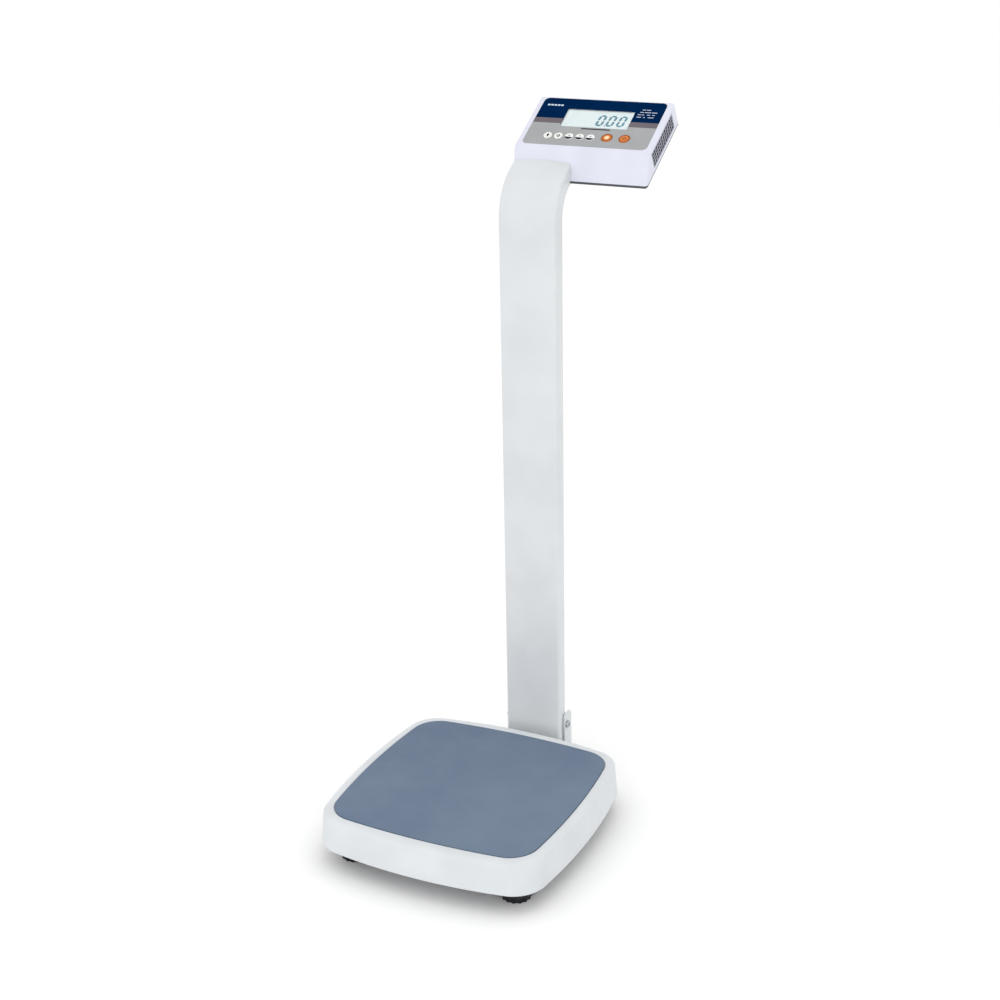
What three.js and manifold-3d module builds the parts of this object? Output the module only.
// Electronic column scale for weighing people: a low platform on four levelling feet,
// a column behind it that leans back at the top, and a tilted indicator beside the column's end.
// Millimetres, +Z up, +Y from the platform towards the column, +X to the user's right.

import * as THREE from 'three';
import { mergeVertices } from 'three/addons/utils/BufferGeometryUtils.js';
import Module from 'manifold-3d';

const wasm = await Module();
wasm.setup();

// ---------------------------------------------------------------- driving dimensions

const GAP = 0.3;                     // clearance between pieces that touch

// Platform
const MAT_WIDTH = 330;
const MAT_DEPTH = 328;
const MAT_CORNER = 43;
const MAT_BOW_X = 12.8;              // how far the left and right edges bow outwards
const MAT_BOW_Y = 12.1;              // how far the front and rear edges bow outwards
const MAT_THICKNESS = 3;
const MAT_TOP = 81.5;
const COVER_WIDTH = 361;             // at the shoulder
const COVER_DEPTH = 364.5;
const COVER_CORNER = 47;
const COVER_BOW_X = 19;
const COVER_BOW_Y = 22;
const COVER_FLARE = 3.5;             // how much further out each side is at the bottom edge
const COVER_BOTTOM = 30.5;
const COVER_SHOULDER = 75.5;
const COVER_RIM = 80.3;
const COVER_ROLL = 8;                // horizontal size of the rounded top edge
const COVER_WALL = 3;

// Steel frame under the platform
const SPINE_BOTTOM = 20.5;
const SPINE_TOP = 26.5;
const SPINE_HALF_WIDTH = 30;
const SPINE_FRONT = -142;
const TONGUE_FRONT = 196;            // behind the cover, where the spine widens for the column
const TONGUE_REAR = 262;
const TONGUE_HALF_WIDTH = 66;
const TONGUE_TAPER = 20;             // length over which the spine widens
const TONGUE_CHAMFER = 12;
const RAIL_TOP = 42.5;
const RAIL_LENGTH = 304;
const RAIL_WIDTH = 34;
const RAIL_WALL = 2.5;
const RAIL_BOSS_RADIUS = 9;          // threaded boss for a foot's stem
const STOP_RADIUS = 4;
const STOP_X = 95;                   // overload stops, measured from the middle
const STOP_GAP = 0.5;                // between the carrier and the stops with nobody on the platform

// Levelling feet
const FOOT_X = 128;
const FOOT_Y = 124;
const PAD_RADIUS = 21.5;
const PAD_TOP = 10;
const WHEEL_RADIUS = 27.8;
const WHEEL_LOBES = 12;
const WHEEL_LOBE_DEPTH = 1.4;        // half the height of a lobe
const WHEEL_BOTTOM = 10.5;
const WHEEL_TOP = 18.5;
const WHEEL_HUB_RADIUS = 9;
const WHEEL_HUB_TOP = 22.5;
const STEM_BOTTOM = 4.8;             // the stem's end sits in a socket in the pad
const STEM_RADIUS = 4.8;
const STEM_TOP = 51.5;

// Load cell and the parts that clamp it
const CELL_LENGTH = 130;
const CELL_WIDTH = 30;
const CELL_BOTTOM = 31.8;
const CELL_TOP = 53.8;
const CELL_BORE_Y = 14;              // the two bores that leave the cell's thin flexing webs
const CELL_BORE_RADIUS = 8;
const CELL_SLOT = 5;
const CELL_THREAD = 14;              // depth of the bolt holes
const CELL_BOLTS = [38, 56];         // distances of the bolts from the middle of the cell
const BOLT_RADIUS = 3;
const SPACER_LENGTH = 34;

// Carrier under the cover
const CARRIER_BOTTOM = 55.5;
const CARRIER_TOP = 67.5;
const CARRIER_WALL = 2;
const CARRIER_ARM_Y = 128;
const CARRIER_ARM_X = 150;
const CARRIER_ARM_WIDTH = 30;
const CARRIER_BEAM_WIDTH = 50;
const BOSS_X = CARRIER_ARM_X - 20;   // posts under the cover, over the carrier's arms
const BOSS_RADIUS = 12;

// Column
const COLUMN_Y = 227.5;              // centre line of the upright part
const COLUMN_WIDTH = 90;
const COLUMN_DEPTH = 31;
const COLUMN_CORNER = 5;
const COLUMN_CROWN = 2.5;            // how far the front and rear faces bow outwards
const COLUMN_WALL = 2;
const COLUMN_BEND_START = 867.5;
const COLUMN_BEND_RADIUS = 64.5;
const TONGUE_REACH = 76;             // how far the cradle runs on under the indicator

// Bracket that holds the column's foot
const CHEEK_INSIDE = 46;
const CHEEK_WALL = 3;
const CHEEK_FRONT = 228;
const CHEEK_REAR = 253;
const CHEEK_TOP = 93.5;
const CHEEK_CORNER = 8;
const FLANGE_FRONT = 210;
const FLANGE_HALF_WIDTH = 64;
const WEB_TOP = 70.5;                // the bracket's rear web
const COLUMN_SCREW_Y = 236;
const COLUMN_SCREW_Z = 74.5;
const COLUMN_SCREW_RADIUS = 3;
const COLUMN_SCREW_TIP = 38;
const BRACKET_BOLT_X = 57;
const BRACKET_BOLT_RADIUS = 4;
const LEVEL_Y = 199;                 // the bubble level, between the cover and the column

// Indicator, in its own frame: X to the right, Y up the slope, Z out of the panel
const HEAD_X = -45;
const HEAD_Y = 265.1;
const HEAD_Z = 915.9;
const HEAD_TILT = THREE.MathUtils.degToRad(30);
const HEAD_WIDTH = 206;
const HEAD_LENGTH = 143.3;
const HEAD_THICKNESS = 37.4;
const HEAD_SLANT = 30.3;             // how far the front face leans back over the thickness
const HEAD_WALL = 2.5;
const HEAD_EDGE = 2;                 // bevel along the outer edges
const SEAM = 3;                      // height of the dark rear cover's edge
const OVERLAY_MIN = new THREE.Vector2(8.5, 38);
const OVERLAY_MAX = new THREE.Vector2(197.5, 140.3);
const OVERLAY_CORNER = 8;
const OVERLAY_THICKNESS = 0.5;
const WINDOW_MIN = new THREE.Vector2(52, 79.3);
const WINDOW_MAX = new THREE.Vector2(155, 118.7);
const SMALL_KEY_Y = 58.3;
const LARGE_KEY_Y = 59.8;
const SMALL_KEY_X = [42.4, 58.7, 75, 91.3, 107.6];
const SMALL_KEY_RADIUS = 6.5;
const LARGE_KEY_X = [132.2, 158.6];
const LARGE_KEY_RADIUS = 8.2;
const KEY_TOP = 38.2;
const BOARD_BOTTOM = 20;
const BOARD_TOP = 21.6;
const POST_X = [14, 192];
const POST_Y = [45, 130];
const DOOR_MIN = new THREE.Vector2(104, 48);
const DOOR_MAX = new THREE.Vector2(196, 112);
const NECK_X = 45;                   // the column's centre line in the indicator's frame
const NECK_SCREW_X = [NECK_X - 15, NECK_X + 15];
const NECK_SCREW_Y = 40;
const SOCKET_X = 30;
const SOCKET_Z = 12;

// Cable inside the machine
const CABLE_RADIUS = 2.5;
const CABLE_RUN_Z = 10.5;            // height of the run under the spine
const CABLE_HOLE_Y = 100;

// ---------------------------------------------------------------- materials

function finish(color, roughness, metalness) {
  return new THREE.MeshStandardMaterial({ color, roughness, metalness });
}

const WHITE_SHELL = finish(0xe4e8ea, 0.42, 0);
const WHITE_PAINT = finish(0xdfe3e6, 0.38, 0.1);
const COLUMN_COAT = finish(0xdfe3e6, 0.38, 0.1);
const BLUE_MAT = finish(0x738399, 0.85, 0);
const GREY_STEEL = finish(0x8b9096, 0.5, 0.8);
const ZINC = finish(0xb4b8bc, 0.35, 0.9);
const ALUMINIUM = finish(0xc6c9cc, 0.4, 0.9);
const BLACK_RUBBER = finish(0x1c1c1e, 0.8, 0);
const BLACK_NYLON = finish(0x232427, 0.6, 0);
const HEAD_WHITE = finish(0xe3e6f0, 0.4, 0);
const HEAD_GREY = finish(0x3e4148, 0.6, 0);
const NAVY_LABEL = finish(0x163558, 0.35, 0);
const CLEAR = finish(0xe6eef2, 0.08, 0);
const LCD_GREY = finish(0xdceaf1, 0.25, 0);
const BOARD_GREEN = finish(0x23603c, 0.5, 0);
const PALE_KEY = finish(0xe2e2de, 0.5, 0);
const ORANGE_KEY = finish(0xd76e28, 0.45, 0);
const BATTERY_BLUE = finish(0x3a5f8f, 0.45, 0);
const VIAL_GREEN = finish(0xa9c93d, 0.15, 0);

// ---------------------------------------------------------------- solids

function toManifold(geometry) {
  const bare = geometry.clone();
  bare.deleteAttribute('normal');
  bare.deleteAttribute('uv');
  const merged = mergeVertices(bare, 1e-4);
  return new wasm.Manifold(new wasm.Mesh({
    numProp: 3,
    vertProperties: merged.getAttribute('position').array,
    triVerts: Uint32Array.from(merged.getIndex().array),
  }));
}

function toGeometry(manifold) {
  const mesh = manifold.getMesh();
  const geometry = new THREE.BufferGeometry();
  geometry.setAttribute('position', new THREE.BufferAttribute(new Float32Array(mesh.vertProperties), 3));
  geometry.setIndex(new THREE.BufferAttribute(new Uint32Array(mesh.triVerts), 1));
  return geometry;
}

function join(...pieces) {
  return toGeometry(pieces.map(toManifold).reduce((sum, piece) => sum.add(piece)));
}

function cut(body, ...tools) {
  return toGeometry(tools.map(toManifold).reduce((rest, tool) => rest.subtract(tool), toManifold(body)));
}

function common(body, other) {
  return toGeometry(toManifold(body).intersect(toManifold(other)));
}

function block(x0, x1, y0, y1, z0, z1) {
  const box = new THREE.BoxGeometry(x1 - x0, y1 - y0, z1 - z0);
  return box.translate((x0 + x1) / 2, (y0 + y1) / 2, (z0 + z1) / 2);
}

// A cylinder standing along Z.
function rod(x, y, z0, z1, radius, sides = 16) {
  const cylinder = new THREE.CylinderGeometry(radius, radius, z1 - z0, sides);
  return cylinder.rotateX(Math.PI / 2).translate(x, y, (z0 + z1) / 2);
}

// A cylinder lying along X.
function crossRod(y, z, x0, x1, radius, sides = 16) {
  const cylinder = new THREE.CylinderGeometry(radius, radius, x1 - x0, sides);
  return cylinder.rotateZ(Math.PI / 2).translate((x0 + x1) / 2, y, z);
}

// A cylinder lying along Y.
function lengthRod(x, z, y0, y1, radius, sides = 16) {
  return new THREE.CylinderGeometry(radius, radius, y1 - y0, sides).translate(x, (y0 + y1) / 2, z);
}

// A solid of revolution about Z; the profile is a list of [radius, z] from bottom to top.
function turned(profile, sides = 24) {
  const points = profile.map(([radius, z]) => new THREE.Vector2(radius, z));
  return new THREE.LatheGeometry(points, sides).rotateX(Math.PI / 2);
}

// A ring about Z: the profile goes round a closed loop.
function ring(profile, sides = 24) {
  return turned([...profile, profile[0]], sides);
}

function plate(shape, z0, z1) {
  return new THREE.ExtrudeGeometry(shape, { depth: z1 - z0, bevelEnabled: false, curveSegments: 4 })
    .translate(0, 0, z0);
}

function arcPoints(x, y, radius, from, to, steps) {
  return Array.from({ length: steps }, (_, i) => {
    const angle = from + (to - from) * i / steps;
    return new THREE.Vector2(x + radius * Math.cos(angle), y + radius * Math.sin(angle));
  });
}

function roundedRectangle(x0, x1, y0, y1, radius, steps = 4) {
  const quarter = Math.PI / 2;
  return new THREE.Shape([
    ...arcPoints(x1 - radius, y0 + radius, radius, -quarter, 0, steps),
    new THREE.Vector2(x1, y0 + radius),
    ...arcPoints(x1 - radius, y1 - radius, radius, 0, quarter, steps),
    new THREE.Vector2(x1 - radius, y1),
    ...arcPoints(x0 + radius, y1 - radius, radius, quarter, 2 * quarter, steps),
    new THREE.Vector2(x0, y1 - radius),
    ...arcPoints(x0 + radius, y0 + radius, radius, 2 * quarter, 3 * quarter, steps),
    new THREE.Vector2(x0 + radius, y0),
  ]);
}

// A rounded rectangle whose sides bow outwards: the side arcs and corner arcs meet tangentially.
function barrel(width, depth, corner, bowX, bowY, steps = 6) {
  const radiusX = (depth / 2) ** 2 / (2 * bowX) + bowX / 2;
  const radiusY = (width / 2) ** 2 / (2 * bowY) + bowY / 2;
  const sideX = width / 2 - radiusX;
  const sideY = depth / 2 - radiusY;
  const reachX = radiusX - corner;
  const reachY = radiusY - corner;
  const apart = Math.hypot(sideX, sideY);
  const along = (apart ** 2 + reachX ** 2 - reachY ** 2) / (2 * apart);
  const across = Math.sqrt(reachX ** 2 - along ** 2);
  const cornerX = sideX + (-sideX * along - sideY * across) / apart;
  const cornerY = (sideY * along - sideX * across) / apart;
  const sideEnd = Math.atan2(cornerY, cornerX - sideX);
  const topEnd = Math.atan2(cornerY - sideY, cornerX);
  return new THREE.Shape([
    ...arcPoints(sideX, 0, radiusX, -sideEnd, sideEnd, steps),
    ...arcPoints(cornerX, cornerY, corner, sideEnd, topEnd, steps),
    ...arcPoints(0, sideY, radiusY, topEnd, Math.PI - topEnd, steps),
    ...arcPoints(-cornerX, cornerY, corner, Math.PI - topEnd, Math.PI - sideEnd, steps),
    ...arcPoints(-sideX, 0, radiusX, Math.PI - sideEnd, Math.PI + sideEnd, steps),
    ...arcPoints(-cornerX, -cornerY, corner, Math.PI + sideEnd, Math.PI + topEnd, steps),
    ...arcPoints(0, -sideY, radiusY, Math.PI + topEnd, 2 * Math.PI - topEnd, steps),
    ...arcPoints(cornerX, -cornerY, corner, 2 * Math.PI - topEnd, 2 * Math.PI - sideEnd, steps),
  ]);
}

// A run of straight stretches with a circular bend at each inner corner.
class BentRun extends THREE.Curve {
  constructor(corners, radii, stepsPerBend) {
    super();
    this.points = [];
    this.tangents = [];
    for (let i = 0; i < corners.length; i += 1) {
      const before = corners[i].clone().sub(corners[Math.max(i - 1, 0)]).normalize();
      const after = corners[Math.min(i + 1, corners.length - 1)].clone().sub(corners[i]).normalize();
      if (i === 0 || i === corners.length - 1) {
        this.points.push(corners[i].clone());
        this.tangents.push(i === 0 ? after : before);
      } else {
        this.addBend(corners[i], before, after, radii[i - 1], stepsPerBend);
      }
    }
    this.steps = this.points.length - 1;
  }

  addBend(corner, before, after, radius, steps) {
    const turn = before.angleTo(after);
    const inward = after.clone().addScaledVector(before, -Math.cos(turn)).normalize();
    const start = corner.clone().addScaledVector(before, -radius * Math.tan(turn / 2));
    for (let i = 0; i <= steps; i += 1) {
      const angle = turn * i / steps;
      const point = start.clone().addScaledVector(before, radius * Math.sin(angle));
      this.points.push(point.addScaledVector(inward, radius * (1 - Math.cos(angle))));
      const tangent = before.clone().multiplyScalar(Math.cos(angle));
      this.tangents.push(tangent.addScaledVector(inward, Math.sin(angle)));
    }
  }

  getPointAt(t) {
    return this.points[Math.round(t * this.steps)].clone();
  }

  getTangentAt(t) {
    return this.tangents[Math.round(t * this.steps)].clone();
  }
}

function sweep(shape, run) {
  return new THREE.ExtrudeGeometry(shape, { steps: run.steps, extrudePath: run, curveSegments: 4 });
}

// ---------------------------------------------------------------- assembly

const scale = new THREE.Group();
const head = new THREE.Group();
head.position.set(HEAD_X, HEAD_Y, HEAD_Z);
head.rotation.x = HEAD_TILT;
head.updateMatrix();
scale.add(head);

function add(parent, name, geometry, material) {
  const mesh = new THREE.Mesh(geometry, material);
  mesh.name = name;
  parent.add(mesh);
}

const CORNERS = [
  ['front_left', -1, -1],
  ['front_right', 1, -1],
  ['rear_left', -1, 1],
  ['rear_right', 1, 1],
];

// ---------------------------------------------------------------- steel frame

function spinePlate() {
  const outline = new THREE.Shape();
  outline.moveTo(-SPINE_HALF_WIDTH, SPINE_FRONT);
  outline.lineTo(SPINE_HALF_WIDTH, SPINE_FRONT);
  outline.lineTo(SPINE_HALF_WIDTH, TONGUE_FRONT - TONGUE_TAPER);
  outline.lineTo(TONGUE_HALF_WIDTH, TONGUE_FRONT);
  outline.lineTo(TONGUE_HALF_WIDTH, TONGUE_REAR - TONGUE_CHAMFER);
  outline.lineTo(TONGUE_HALF_WIDTH - TONGUE_CHAMFER, TONGUE_REAR);
  outline.lineTo(-TONGUE_HALF_WIDTH + TONGUE_CHAMFER, TONGUE_REAR);
  outline.lineTo(-TONGUE_HALF_WIDTH, TONGUE_REAR - TONGUE_CHAMFER);
  outline.lineTo(-TONGUE_HALF_WIDTH, TONGUE_FRONT);
  outline.lineTo(-SPINE_HALF_WIDTH, TONGUE_FRONT - TONGUE_TAPER);
  const below = SPINE_BOTTOM - 1;
  const above = SPINE_TOP + 1;
  return cut(
    plate(outline, SPINE_BOTTOM, SPINE_TOP),
    ...CELL_BOLTS.map((y) => rod(0, y, below, above, BOLT_RADIUS + GAP)),
    rod(0, CABLE_HOLE_Y, below, above, 6),
    rod(0, COLUMN_Y, below, above, 8),
    ...[-1, 1].map((side) => rod(side * BRACKET_BOLT_X, COLUMN_Y, below, above, BRACKET_BOLT_RADIUS + GAP)),
  );
}

function rail(side) {
  const middle = side * FOOT_Y;
  const bottom = SPINE_TOP + GAP;
  const inner = RAIL_WIDTH / 2 - RAIL_WALL;
  const half = RAIL_LENGTH / 2;
  const channel = cut(
    block(-half, half, middle - RAIL_WIDTH / 2, middle + RAIL_WIDTH / 2, bottom, RAIL_TOP),
    block(-half - 1, half + 1, middle - inner, middle + inner, bottom - 1, RAIL_TOP - RAIL_WALL),
  );
  const bosses = [-1, 1].map((end) => rod(end * FOOT_X, middle, bottom + 2, RAIL_TOP - 1, RAIL_BOSS_RADIUS));
  const holes = [-1, 1].flatMap((end) => [
    rod(end * FOOT_X, middle, bottom - 1, RAIL_TOP + 1, STEM_RADIUS + GAP),
    rod(end * STOP_X, middle, bottom - 1, RAIL_TOP + 1, STOP_RADIUS + GAP),
  ]);
  return cut(join(channel, ...bosses), ...holes);
}

// A stud with its nut: the platform's carrier lands on it when the scale is overloaded.
function stopScrew(x, y) {
  const nut = rod(x, y, RAIL_TOP + GAP, RAIL_TOP + 5, 7, 6);
  const stud = rod(x, y, RAIL_TOP - 8, CARRIER_TOP - CARRIER_WALL - STOP_GAP, STOP_RADIUS, 12);
  return join(nut, stud);
}

add(scale, 'spine_plate', spinePlate(), GREY_STEEL);
add(scale, 'front_rail', rail(-1), GREY_STEEL);
add(scale, 'rear_rail', rail(1), GREY_STEEL);
for (const [corner, x, y] of CORNERS) {
  add(scale, `stop_screw_${corner}`, stopScrew(x * STOP_X, y * FOOT_Y), ZINC);
}

// ---------------------------------------------------------------- levelling feet

function footPad() {
  return turned([
    [0, 0], [PAD_RADIUS - 1, 0], [PAD_RADIUS, 1], [PAD_RADIUS - 1, PAD_TOP - 2], [PAD_RADIUS - 4, PAD_TOP],
    [STEM_RADIUS + GAP, PAD_TOP], [STEM_RADIUS + GAP, STEM_BOTTOM - GAP], [0, STEM_BOTTOM - GAP],
  ], 20);
}

// The knurled wheel is moulded onto the threaded stem.
function footWheel() {
  const count = WHEEL_LOBES * 4;
  const outline = Array.from({ length: count }, (_, i) => {
    const angle = 2 * Math.PI * i / count;
    const radius = WHEEL_RADIUS + WHEEL_LOBE_DEPTH * (Math.cos(WHEEL_LOBES * angle) - 1);
    return new THREE.Vector2(radius * Math.cos(angle), radius * Math.sin(angle));
  });
  const hub = rod(0, 0, WHEEL_TOP - 1, WHEEL_HUB_TOP, WHEEL_HUB_RADIUS);
  const stem = rod(0, 0, STEM_BOTTOM, STEM_TOP, STEM_RADIUS);
  return join(plate(new THREE.Shape(outline), WHEEL_BOTTOM, WHEEL_TOP), hub, stem);
}

for (const [corner, x, y] of CORNERS) {
  add(scale, `foot_pad_${corner}`, footPad().translate(x * FOOT_X, y * FOOT_Y, 0), BLACK_RUBBER);
  add(scale, `foot_wheel_${corner}`, footWheel().translate(x * FOOT_X, y * FOOT_Y, 0), BLACK_NYLON);
}

// ---------------------------------------------------------------- load cell

function loadCell() {
  const half = CELL_LENGTH / 2;
  const middle = (CELL_BOTTOM + CELL_TOP) / 2;
  const side = CELL_WIDTH / 2;
  return cut(
    block(-side, side, -half, half, CELL_BOTTOM, CELL_TOP),
    crossRod(-CELL_BORE_Y, middle, -side - 1, side + 1, CELL_BORE_RADIUS),
    crossRod(CELL_BORE_Y, middle, -side - 1, side + 1, CELL_BORE_RADIUS),
    block(-side - 1, side + 1, -CELL_BORE_Y, CELL_BORE_Y, middle - CELL_SLOT / 2, middle + CELL_SLOT / 2),
    ...CELL_BOLTS.map((y) => rod(0, y, CELL_BOTTOM - 1, CELL_BOTTOM + CELL_THREAD, BOLT_RADIUS + GAP)),
    ...CELL_BOLTS.map((y) => rod(0, -y, CELL_TOP - CELL_THREAD, CELL_TOP + 1, BOLT_RADIUS + GAP)),
    lengthRod(0, middle, half - 5, half + 1, CABLE_RADIUS + GAP),
  );
}

function cellSpacer(side, z0, z1) {
  const middle = side * (CELL_BOLTS[0] + CELL_BOLTS[1]) / 2;
  const half = SPACER_LENGTH / 2;
  return cut(
    block(-CELL_WIDTH / 2, CELL_WIDTH / 2, middle - half, middle + half, z0, z1),
    ...CELL_BOLTS.map((y) => rod(0, side * y, z0 - 1, z1 + 1, BOLT_RADIUS + GAP)),
  );
}

function capBolt(x, y, headFrom, headTo, shankEnd, radius) {
  const cap = rod(x, y, Math.min(headFrom, headTo), Math.max(headFrom, headTo), radius * 1.8, 6);
  const from = Math.min(headFrom, headTo, shankEnd) === shankEnd ? shankEnd : headTo - 1;
  const to = from === shankEnd ? headFrom + 1 : shankEnd;
  return join(cap, rod(x, y, from, to, radius, 12));
}

add(scale, 'load_cell', loadCell(), ALUMINIUM);
add(scale, 'cell_spacer_lower', cellSpacer(1, SPINE_TOP + GAP, CELL_BOTTOM - GAP), GREY_STEEL);
add(scale, 'cell_spacer_upper', cellSpacer(-1, CELL_TOP + GAP, CARRIER_TOP - CARRIER_WALL - GAP), GREY_STEEL);
CELL_BOLTS.forEach((y, i) => {
  const depth = CELL_THREAD - 1;
  const lower = capBolt(0, y, SPINE_BOTTOM - 4, SPINE_BOTTOM - GAP, CELL_BOTTOM + depth, BOLT_RADIUS);
  const upper = capBolt(0, -y, CARRIER_TOP + GAP, CARRIER_TOP + 4, CELL_TOP - depth, BOLT_RADIUS);
  add(scale, `cell_bolt_lower_${i + 1}`, lower, ZINC);
  add(scale, `cell_bolt_upper_${i + 1}`, upper, ZINC);
});

// ---------------------------------------------------------------- platform

function carrier() {
  const wall = CARRIER_WALL;
  const arm = CARRIER_ARM_WIDTH / 2;
  const beam = CARRIER_BEAM_WIDTH / 2;
  const inside = CARRIER_TOP - wall;
  const below = CARRIER_BOTTOM - 1;
  const bars = [-1, 1].map((side) => block(
    -CARRIER_ARM_X, CARRIER_ARM_X,
    side * CARRIER_ARM_Y - arm, side * CARRIER_ARM_Y + arm, CARRIER_BOTTOM, CARRIER_TOP,
  ));
  const hollows = [-1, 1].map((side) => block(
    -CARRIER_ARM_X - 1, CARRIER_ARM_X + 1,
    side * CARRIER_ARM_Y - arm + wall, side * CARRIER_ARM_Y + arm - wall, below, inside,
  ));
  const spine = block(-beam, beam, -CARRIER_ARM_Y, CARRIER_ARM_Y, CARRIER_BOTTOM, CARRIER_TOP);
  const trough = block(-beam + wall, beam - wall, -CARRIER_ARM_Y, CARRIER_ARM_Y, below, inside);
  const holes = CELL_BOLTS.map((y) => rod(0, -y, below, CARRIER_TOP + 1, BOLT_RADIUS + GAP));
  return cut(join(...bars, spine), ...hollows, trough, ...holes);
}

// The flare spreads the lower edge of the cover a little wider than its shoulder.
function flare(geometry) {
  const position = geometry.getAttribute('position');
  const slope = COVER_FLARE / (COVER_WIDTH / 2) / (COVER_SHOULDER - COVER_BOTTOM);
  for (let i = 0; i < position.count; i += 1) {
    const factor = 1 + slope * Math.max(COVER_SHOULDER - position.getZ(i), 0);
    position.setX(i, position.getX(i) * factor);
    position.setY(i, position.getY(i) * factor);
  }
  return geometry;
}

function coverOutline(inset) {
  return barrel(
    COVER_WIDTH - 2 * inset, COVER_DEPTH - 2 * inset, COVER_CORNER - inset, COVER_BOW_X, COVER_BOW_Y,
  );
}

function platformCover() {
  const roll = COVER_ROLL;
  const rollHeight = COVER_RIM - COVER_SHOULDER;
  const topPlate = MAT_TOP - MAT_THICKNESS - GAP;
  const inside = topPlate - COVER_WALL;
  const rim = coverOutline(roll);
  const outer = new THREE.ExtrudeGeometry(rim, {
    depth: COVER_SHOULDER - COVER_BOTTOM + 2 * rollHeight,
    bevelSize: roll,
    bevelThickness: rollHeight,
    bevelSegments: 4,
  }).translate(0, 0, COVER_BOTTOM - 2 * rollHeight);
  const recess = barrel(MAT_WIDTH + 2, MAT_DEPTH + 2, MAT_CORNER + 1, MAT_BOW_X, MAT_BOW_Y);
  const cavity = flare(plate(coverOutline(COVER_WALL), 0, inside));
  const bosses = CORNERS.map(([, x, y]) => (
    rod(x * BOSS_X, y * CARRIER_ARM_Y, CARRIER_TOP + GAP, inside + 1, BOSS_RADIUS)
  ));
  const shell = common(flare(outer), block(-250, 250, -250, 250, COVER_BOTTOM, COVER_RIM + 1));
  const hollow = cut(shell, cavity, plate(recess, topPlate, COVER_RIM + 2));
  return join(hollow, ...bosses);
}

function mat() {
  const outline = barrel(MAT_WIDTH, MAT_DEPTH, MAT_CORNER, MAT_BOW_X, MAT_BOW_Y);
  return plate(outline, MAT_TOP - MAT_THICKNESS, MAT_TOP);
}

add(scale, 'platform_carrier', carrier(), GREY_STEEL);
add(scale, 'platform_cover', platformCover(), WHITE_SHELL);
add(scale, 'platform_mat', mat(), BLUE_MAT);

// ---------------------------------------------------------------- column and its bracket

const HEAD_SLOPE = new THREE.Vector3(0, Math.cos(HEAD_TILT), Math.sin(HEAD_TILT));
const BEND_TURN = Math.PI / 2 - HEAD_TILT;
const COLUMN_FOOT = new THREE.Vector3(0, COLUMN_Y, SPINE_TOP + GAP);
const COLUMN_CORNER_POINT = new THREE.Vector3(
  0, COLUMN_Y, COLUMN_BEND_START + COLUMN_BEND_RADIUS * Math.tan(BEND_TURN / 2),
);

// The indicator's body, grown by a margin, as a tool for cutting the column's end.
function headEnvelope(margin) {
  const profile = new THREE.Shape([
    new THREE.Vector2(-margin, -margin),
    new THREE.Vector2(HEAD_LENGTH, -margin),
    new THREE.Vector2(HEAD_LENGTH, HEAD_THICKNESS * 2),
    new THREE.Vector2(HEAD_SLANT * 2 - margin, HEAD_THICKNESS * 2),
  ]);
  return alongX(profile, -HEAD_WIDTH, HEAD_WIDTH).applyMatrix4(head.matrix);
}

// A profile drawn in the Y-Z plane and extruded along X.
function alongX(shape, x0, x1, bevel = 0) {
  const axes = new THREE.Matrix4().makeBasis(
    new THREE.Vector3(0, 1, 0), new THREE.Vector3(0, 0, 1), new THREE.Vector3(1, 0, 0),
  );
  return new THREE.ExtrudeGeometry(shape, {
    depth: x1 - x0 - 2 * bevel,
    bevelEnabled: bevel > 0,
    bevelSize: bevel,
    bevelOffset: -bevel,
    bevelThickness: bevel,
    bevelSegments: 2,
    curveSegments: 3,
  }).translate(0, 0, x0 + bevel).applyMatrix4(axes);
}

function columnSection(inset) {
  // Across the run, the section's X lies front to back and its Y lies left to right.
  return barrel(
    COLUMN_DEPTH - 2 * inset, COLUMN_WIDTH - 2 * inset, COLUMN_CORNER - inset, COLUMN_CROWN, 0.4, 3,
  );
}

function columnRun(before, after) {
  const foot = COLUMN_FOOT.clone().add(new THREE.Vector3(0, 0, -before));
  const reach = head.position.clone().sub(COLUMN_CORNER_POINT).dot(HEAD_SLOPE) + TONGUE_REACH + after;
  const end = COLUMN_CORNER_POINT.clone().addScaledVector(HEAD_SLOPE, reach);
  return new BentRun([foot, COLUMN_CORNER_POINT, end], [COLUMN_BEND_RADIUS], 6);
}

// The top of the tube stops at the indicator's front face; its floor runs on underneath as a cradle.
function column() {
  const outside = sweep(columnSection(0), columnRun(0, 0));
  const inside = sweep(columnSection(COLUMN_WALL), columnRun(5, 5));
  const screwHoles = crossRod(COLUMN_SCREW_Y, COLUMN_SCREW_Z, -60, 60, COLUMN_SCREW_RADIUS + GAP, 12);
  const neckHoles = NECK_SCREW_X.map((x) => (
    rod(x, NECK_SCREW_Y, -30, 0, 2 + GAP, 12).applyMatrix4(head.matrix)
  ));
  return cut(outside, inside, headEnvelope(0.5), screwHoles, ...neckHoles);
}

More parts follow.
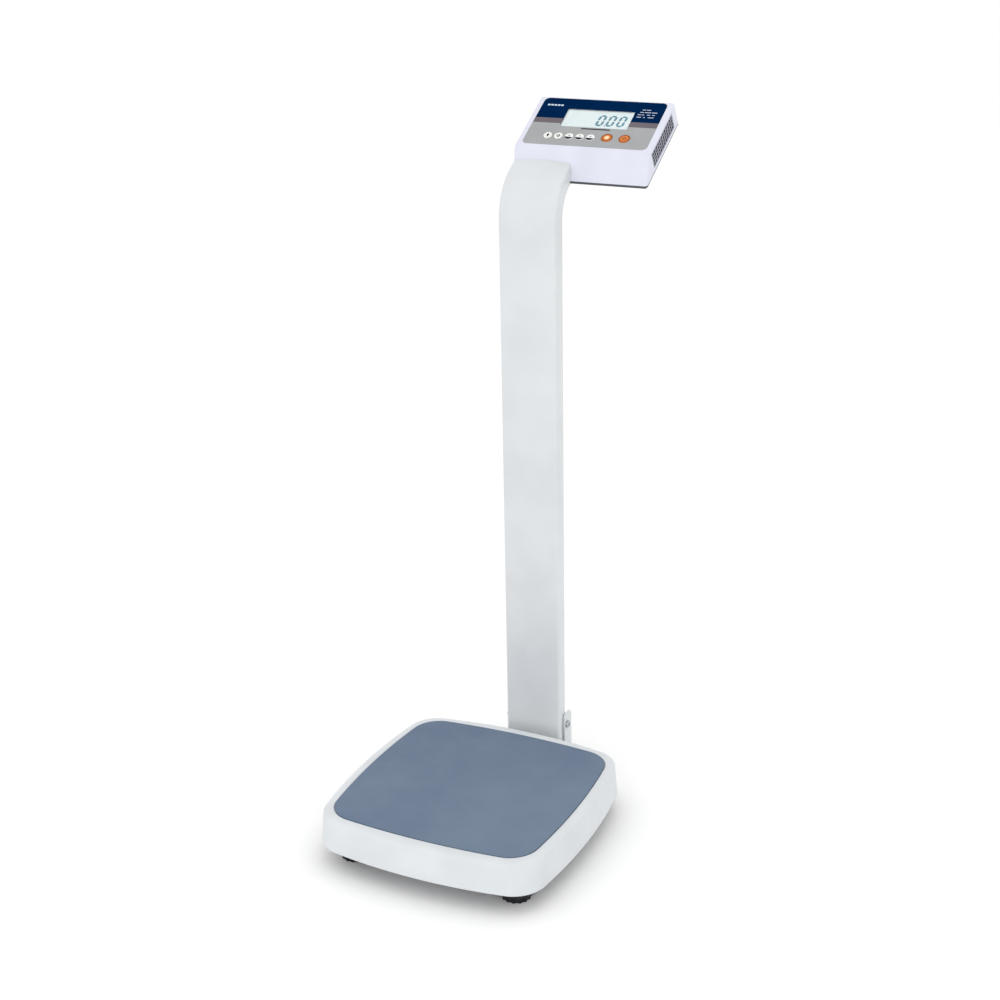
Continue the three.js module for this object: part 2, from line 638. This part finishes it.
function footBracket() {
  const outside = CHEEK_INSIDE + CHEEK_WALL;
  const bottom = SPINE_TOP + GAP;
  const outline = new THREE.Shape([
    new THREE.Vector2(CHEEK_FRONT, bottom),
    new THREE.Vector2(CHEEK_REAR, bottom),
    ...arcPoints(CHEEK_REAR - CHEEK_CORNER, CHEEK_TOP - CHEEK_CORNER, CHEEK_CORNER, 0, Math.PI / 2, 5),
    ...arcPoints(CHEEK_FRONT + CHEEK_CORNER, CHEEK_TOP - CHEEK_CORNER, CHEEK_CORNER, Math.PI / 2, Math.PI, 5),
    new THREE.Vector2(CHEEK_FRONT, CHEEK_TOP - CHEEK_CORNER),
  ]);
  const cheeks = [-outside, CHEEK_INSIDE].map((x) => alongX(outline, x, x + CHEEK_WALL));
  const webFront = COLUMN_Y + COLUMN_DEPTH / 2 + GAP;
  const web = block(-outside + 1, outside - 1, webFront, webFront + CHEEK_WALL, bottom, WEB_TOP);
  const flanges = [-1, 1].map((side) => block(
    Math.min(side * (outside - 1), side * FLANGE_HALF_WIDTH),
    Math.max(side * (outside - 1), side * FLANGE_HALF_WIDTH),
    FLANGE_FRONT, CHEEK_REAR, bottom, bottom + CHEEK_WALL,
  ));
  const holes = [-1, 1].map((side) => (
    rod(side * BRACKET_BOLT_X, COLUMN_Y, bottom - 1, bottom + 5, BRACKET_BOLT_RADIUS + GAP)
  ));
  const screwHoles = crossRod(COLUMN_SCREW_Y, COLUMN_SCREW_Z, -60, 60, COLUMN_SCREW_RADIUS + GAP, 12);
  return cut(join(...cheeks, web, ...flanges), ...holes, screwHoles);
}

// A pan-head screw through one cheek and the tube's wall.
function columnScrew(side) {
  const face = CHEEK_INSIDE + CHEEK_WALL + GAP;
  const screw = turned([
    [0, COLUMN_SCREW_TIP - face], [COLUMN_SCREW_RADIUS, COLUMN_SCREW_TIP - face], [COLUMN_SCREW_RADIUS, 0],
    [6, 0], [6, 1.6], [4.6, 3], [0, 3.4],
  ], 16);
  return screw.rotateY(side * Math.PI / 2).translate(side * face, COLUMN_SCREW_Y, COLUMN_SCREW_Z);
}

add(scale, 'column', column(), COLUMN_COAT);
add(scale, 'foot_bracket', footBracket(), WHITE_PAINT);
for (const [name, side] of [['left', -1], ['right', 1]]) {
  const top = SPINE_TOP + GAP + CHEEK_WALL + GAP;
  const bolt = capBolt(side * BRACKET_BOLT_X, COLUMN_Y, top, top + 5, SPINE_BOTTOM - 3, BRACKET_BOLT_RADIUS);
  add(scale, `bracket_bolt_${name}`, bolt, ZINC);
  add(scale, `column_screw_${name}`, columnScrew(side), ZINC);
}

// A round bubble level set on the tongue in front of the column.
function spiritLevel() {
  return turned([[0, 0], [9, 0], [9, 6], [7.5, 7.5], [0, 7.5]], 20)
    .translate(0, LEVEL_Y, SPINE_TOP + GAP);
}

add(scale, 'spirit_level', spiritLevel(), VIAL_GREEN);

// ---------------------------------------------------------------- indicator housing

// Side view of the housing: flat back, panel on top, and a front face that leans back.
function headProfile(inset, bottom, top) {
  const lean = Math.hypot(HEAD_SLANT, HEAD_THICKNESS);
  const front = (z) => (inset * lean + HEAD_SLANT * z) / HEAD_THICKNESS;
  return new THREE.Shape([
    new THREE.Vector2(front(bottom), bottom),
    new THREE.Vector2(HEAD_LENGTH - inset, bottom),
    new THREE.Vector2(HEAD_LENGTH - inset, top),
    new THREE.Vector2(front(top), top),
  ]);
}

const KEYS = [
  ...SMALL_KEY_X.map((x, i) => [`key_${i + 1}`, x, SMALL_KEY_Y, SMALL_KEY_RADIUS, PALE_KEY]),
  ['key_tare', LARGE_KEY_X[0], LARGE_KEY_Y, LARGE_KEY_RADIUS, ORANGE_KEY],
  ['key_power', LARGE_KEY_X[1], LARGE_KEY_Y, LARGE_KEY_RADIUS, ORANGE_KEY],
];
const POSTS = POST_X.flatMap((x) => POST_Y.map((y) => [x, y]));
const LENS_INSET = 1;
const VENT_MIN = new THREE.Vector2(35.8, 8);
const VENT_MAX = new THREE.Vector2(126, 32.4);
const GROMMET_Z = 14.5;
const GROMMET_FLANGE = 6.8;

function keyHoles(z0, z1) {
  return KEYS.map(([, x, y, radius]) => rod(x, y, z0, z1, radius + 0.4, 20));
}

// The grommet's axis stands square on the leaning front face.
function onFrontFace(geometry) {
  const lean = Math.atan2(HEAD_SLANT, HEAD_THICKNESS);
  const entry = GROMMET_Z * HEAD_SLANT / HEAD_THICKNESS;
  return geometry.rotateX(Math.PI / 2 - lean).translate(NECK_X, entry, GROMMET_Z);
}

function frontCover() {
  const body = alongX(headProfile(0, 0, HEAD_THICKNESS), 0, HEAD_WIDTH, HEAD_EDGE);
  const above = block(-1, HEAD_WIDTH + 1, -10, HEAD_LENGTH + 10, SEAM + GAP, HEAD_THICKNESS + 1);
  const inside = HEAD_THICKNESS - HEAD_WALL - OVERLAY_THICKNESS;
  const hollow = alongX(headProfile(HEAD_WALL, -5, inside), HEAD_WALL, HEAD_WIDTH - HEAD_WALL);
  const label = roundedRectangle(
    OVERLAY_MIN.x - GAP, OVERLAY_MAX.x + GAP, OVERLAY_MIN.y - GAP, OVERLAY_MAX.y + GAP, OVERLAY_CORNER + GAP,
  );
  const lens = LENS_INSET + GAP;
  const opening = block(
    WINDOW_MIN.x - lens, WINDOW_MAX.x + lens,
    WINDOW_MIN.y - lens, WINDOW_MAX.y + lens, 20, HEAD_THICKNESS + 1,
  );
  const vent = block(HEAD_WIDTH - 1.2, HEAD_WIDTH + 1, VENT_MIN.x - GAP, VENT_MAX.x + GAP,
    VENT_MIN.y - GAP, VENT_MAX.y + GAP);
  const shell = cut(
    common(body, above),
    hollow,
    plate(label, HEAD_THICKNESS - OVERLAY_THICKNESS - GAP, HEAD_THICKNESS + 2),
    opening,
    ...keyHoles(20, HEAD_THICKNESS + 2),
    vent,
    onFrontFace(rod(0, 0, -6, 6, 5)),
    lengthRod(SOCKET_X, SOCKET_Z, HEAD_LENGTH - 6, HEAD_LENGTH + 2, 4.5),
  );
  const posts = POSTS.map(([x, y]) => rod(x, y, SEAM + 4, inside + 1, 4, 12));
  const pilots = POSTS.map(([x, y]) => rod(x, y, SEAM + 2, SEAM + 18, 1.5 + GAP, 8));
  return cut(join(shell, ...posts), ...pilots);
}

function rearCover() {
  const body = alongX(headProfile(0, 0, HEAD_THICKNESS), 0, HEAD_WIDTH, HEAD_EDGE);
  const below = block(-1, HEAD_WIDTH + 1, -10, HEAD_LENGTH + 10, -1, SEAM);
  const lip = 3;
  const step = HEAD_WALL + GAP;
  const outerLip = alongX(headProfile(step, SEAM - 0.5, SEAM + lip), step, HEAD_WIDTH - step);
  const innerLip = alongX(headProfile(step + 2, 0, SEAM + lip + 1), step + 2, HEAD_WIDTH - step - 2);
  const floor = cut(
    common(body, below),
    block(DOOR_MIN.x, DOOR_MAX.x, DOOR_MIN.y, DOOR_MAX.y, -1, SEAM + 1),
    ...NECK_SCREW_X.map((x) => rod(x, NECK_SCREW_Y, -1, SEAM + 1, 2 + GAP, 12)),
    ...POSTS.map(([x, y]) => rod(x, y, -1, SEAM + 1, 1.5 + GAP, 8)),
    ...[0, 1, 2, 3].map((i) => block(20, 70, 90 + 8 * i, 93 + 8 * i, -1, SEAM + 1)),
  );
  return join(floor, cut(outerLip, innerLip));
}

function batteryDoor() {
  const slack = 0.4;
  const panel = block(
    DOOR_MIN.x + slack, DOOR_MAX.x - slack, DOOR_MIN.y + slack, DOOR_MAX.y - slack, 0, SEAM - 0.5,
  );
  const ribs = [0, 1, 2, 3].map((i) => block(
    DOOR_MIN.x + 20, DOOR_MIN.x + 50, DOOR_MAX.y - 14 + 3 * i, DOOR_MAX.y - 12.8 + 3 * i, -0.6, 1,
  ));
  return join(panel, ...ribs);
}

// Six round cells side by side in a shrink sleeve.
function batteryPack() {
  const pitch = 13.6;
  const first = (DOOR_MIN.x + DOOR_MAX.x) / 2 - 2.5 * pitch;
  const cells = Array.from({ length: 6 }, (_, i) => (
    lengthRod(first + i * pitch, SEAM + 8, DOOR_MIN.y + 5, DOOR_MAX.y - 5, 7, 16)
  ));
  return join(...cells);
}

function overlay() {
  const label = roundedRectangle(OVERLAY_MIN.x, OVERLAY_MAX.x, OVERLAY_MIN.y, OVERLAY_MAX.y, OVERLAY_CORNER);
  return cut(
    plate(label, HEAD_THICKNESS - OVERLAY_THICKNESS, HEAD_THICKNESS),
    block(WINDOW_MIN.x, WINDOW_MAX.x, WINDOW_MIN.y, WINDOW_MAX.y, HEAD_THICKNESS - 2, HEAD_THICKNESS + 2),
    ...keyHoles(HEAD_THICKNESS - 2, HEAD_THICKNESS + 2),
  );
}

function displayWindow() {
  const top = HEAD_THICKNESS - OVERLAY_THICKNESS - GAP;
  return block(
    WINDOW_MIN.x - LENS_INSET, WINDOW_MAX.x + LENS_INSET,
    WINDOW_MIN.y - LENS_INSET, WINDOW_MAX.y + LENS_INSET, top - 1.8, top,
  );
}

function displayPanel() {
  const top = HEAD_THICKNESS - HEAD_WALL - OVERLAY_THICKNESS - GAP;
  return block(
    WINDOW_MIN.x - 4, WINDOW_MAX.x + 4, WINDOW_MIN.y - 5, WINDOW_MAX.y + 5, BOARD_TOP + GAP, top,
  );
}

function mainBoard() {
  return block(POST_X[0] + 8, POST_X[1] - 8, POST_Y[0] - 4, POST_Y[1] + 4, BOARD_BOTTOM, BOARD_TOP);
}

function contactStrip() {
  return block(
    SMALL_KEY_X[0] - 6, LARGE_KEY_X[1] + 6,
    SMALL_KEY_Y - 6, LARGE_KEY_Y + 6, BOARD_TOP + GAP, BOARD_TOP + 1.4,
  );
}

// Cap, flange that holds it under the cover, and a plunger down to the contact strip.
function keyCap(radius) {
  const flangeTop = HEAD_THICKNESS - HEAD_WALL - OVERLAY_THICKNESS - GAP;
  return turned([
    [0, 24], [1.8, 24], [1.8, flangeTop - 1.6], [radius + 1.2, flangeTop - 1.6], [radius + 1.2, flangeTop],
    [radius, flangeTop], [radius, KEY_TOP - 0.4], [radius - 0.6, KEY_TOP], [0, KEY_TOP + 0.1],
  ], 16);
}

// Louvred insert in the right-hand side.
function sideVent() {
  const outer = HEAD_WIDTH - 0.2;
  const panel = block(HEAD_WIDTH - 1, outer, VENT_MIN.x, VENT_MAX.x, VENT_MIN.y, VENT_MAX.y);
  const slots = Array.from({ length: 14 }, (_, i) => block(
    HEAD_WIDTH - 0.6, outer + 1,
    VENT_MIN.x + 5 + 6 * i, VENT_MIN.x + 7.5 + 6 * i, VENT_MIN.y + 2, VENT_MAX.y - 2,
  ));
  return cut(panel, ...slots);
}

function powerSocket() {
  const back = HEAD_LENGTH - HEAD_WALL - GAP;
  const body = block(SOCKET_X - 7, SOCKET_X + 7, back - 14, back, SOCKET_Z - 5.5, SOCKET_Z + 7);
  const nose = lengthRod(SOCKET_X, SOCKET_Z, back - 1, HEAD_LENGTH - 0.2, 4.1);
  const bore = lengthRod(SOCKET_X, SOCKET_Z, back - 8, HEAD_LENGTH + 1, 2.8);
  return cut(join(body, nose), bore);
}

function coverScrew() {
  return turned([
    [0, -0.2], [1.5, -0.2], [1.5, 16], [0, 16],
  ], 12);
}

function cableGrommet() {
  return onFrontFace(ring([
    [CABLE_RADIUS + GAP, -HEAD_WALL - 1.5], [GROMMET_FLANGE, -HEAD_WALL - 1.5],
    [GROMMET_FLANGE, -HEAD_WALL - GAP], [4.7, -HEAD_WALL - GAP],
    [4.7, GAP], [GROMMET_FLANGE, GAP], [GROMMET_FLANGE, 1.3], [CABLE_RADIUS + GAP, 1.3],
  ], 20));
}

add(head, 'indicator_rear_cover', rearCover(), HEAD_GREY);
add(head, 'indicator_front_cover', frontCover(), HEAD_WHITE);
add(head, 'keypad_overlay', overlay(), NAVY_LABEL);
add(head, 'display_window', displayWindow(), CLEAR);
add(head, 'display_panel', displayPanel(), LCD_GREY);
add(head, 'main_board', mainBoard(), BOARD_GREEN);
add(head, 'key_contact_strip', contactStrip(), BLACK_RUBBER);
add(head, 'battery_pack', batteryPack(), BATTERY_BLUE);
add(head, 'battery_door', batteryDoor(), HEAD_GREY);
add(head, 'power_socket', powerSocket(), BLACK_NYLON);
add(head, 'side_vent', sideVent(), HEAD_GREY);
add(head, 'cable_grommet', cableGrommet(), BLACK_RUBBER);
for (const [name, x, y, radius, material] of KEYS) {
  add(head, name, keyCap(radius).translate(x, y, 0), material);
}
POSTS.forEach(([x, y], i) => {
  add(head, `cover_screw_${i + 1}`, coverScrew().translate(x, y, 0), ZINC);
});

// ---------------------------------------------------------------- neck under the indicator

const NECK_FLOOR = COLUMN_CORNER_POINT.clone().sub(head.position)
  .dot(new THREE.Vector3(0, -Math.sin(HEAD_TILT), Math.cos(HEAD_TILT))) - COLUMN_DEPTH / 2;

function neckBlock() {
  return cut(
    block(NECK_X - 29, NECK_X + 29, 14, 68, NECK_FLOOR + COLUMN_WALL + 1.4, -GAP),
    ...NECK_SCREW_X.map((x) => rod(x, NECK_SCREW_Y, -30, 1, 2 + GAP, 12)),
  );
}

function neckScrew() {
  return turned([
    [0, NECK_FLOOR - 2.8], [3.4, NECK_FLOOR - 2.6], [4.5, NECK_FLOOR - 1.4], [4.5, NECK_FLOOR - GAP],
    [2, NECK_FLOOR - GAP], [2, SEAM + 5], [0, SEAM + 5],
  ], 16);
}

add(head, 'neck_block', neckBlock(), BLACK_NYLON);
NECK_SCREW_X.forEach((x, i) => {
  add(head, `neck_screw_${i + 1}`, neckScrew().translate(x, NECK_SCREW_Y, 0), ZINC);
});

// ---------------------------------------------------------------- cable

function spineGrommet() {
  return ring([
    [CABLE_RADIUS + GAP, SPINE_BOTTOM - 1.6], [10, SPINE_BOTTOM - 1.6], [10, SPINE_BOTTOM - GAP],
    [7.6, SPINE_BOTTOM - GAP], [7.6, SPINE_TOP + GAP], [10, SPINE_TOP + GAP], [10, SPINE_TOP + 1.6],
    [CABLE_RADIUS + GAP, SPINE_TOP + 1.6],
  ], 20).translate(0, COLUMN_Y, 0);
}

// From the load cell, under the spine, up the column and into the indicator.
function cable() {
  const inHead = (y, z) => new THREE.Vector3(NECK_X, y, z).applyMatrix4(head.matrix);
  const lean = Math.atan2(HEAD_SLANT, HEAD_THICKNESS);
  const entry = GROMMET_Z * HEAD_SLANT / HEAD_THICKNESS;
  const alongAxis = (d) => inHead(entry + d * Math.cos(lean), GROMMET_Z - d * Math.sin(lean));
  const corners = [
    new THREE.Vector3(0, CELL_LENGTH / 2 - 4, (CELL_BOTTOM + CELL_TOP) / 2),
    new THREE.Vector3(0, CABLE_HOLE_Y, (CELL_BOTTOM + CELL_TOP) / 2),
    new THREE.Vector3(0, CABLE_HOLE_Y, CABLE_RUN_Z),
    new THREE.Vector3(0, COLUMN_Y, CABLE_RUN_Z),
    new THREE.Vector3(0, COLUMN_Y, COLUMN_CORNER_POINT.z),
    alongAxis(-5),
    alongAxis(7),
    inHead(entry + 28, GROMMET_Z - 7 * Math.sin(lean)),
  ];
  const run = new BentRun(corners, [12, 8, 8, 30, 7, 7], 4);
  return sweep(new THREE.Shape(arcPoints(0, 0, CABLE_RADIUS, 0, 2 * Math.PI, 8)), run);
}

add(scale, 'spine_grommet', spineGrommet(), BLACK_RUBBER);
add(scale, 'load_cell_cable', cable(), BLACK_RUBBER);

// ---------------------------------------------------------------- origin

// The origin is on the floor, under the middle of the scale's outline seen from above.
scale.updateMatrixWorld(true);
const outline = new THREE.Box3().setFromObject(scale, true);
const middle = outline.getCenter(new THREE.Vector3());
scale.position.set(-middle.x, -middle.y, -outline.min.z);
scale.updateMatrixWorld(true);

export default scale;
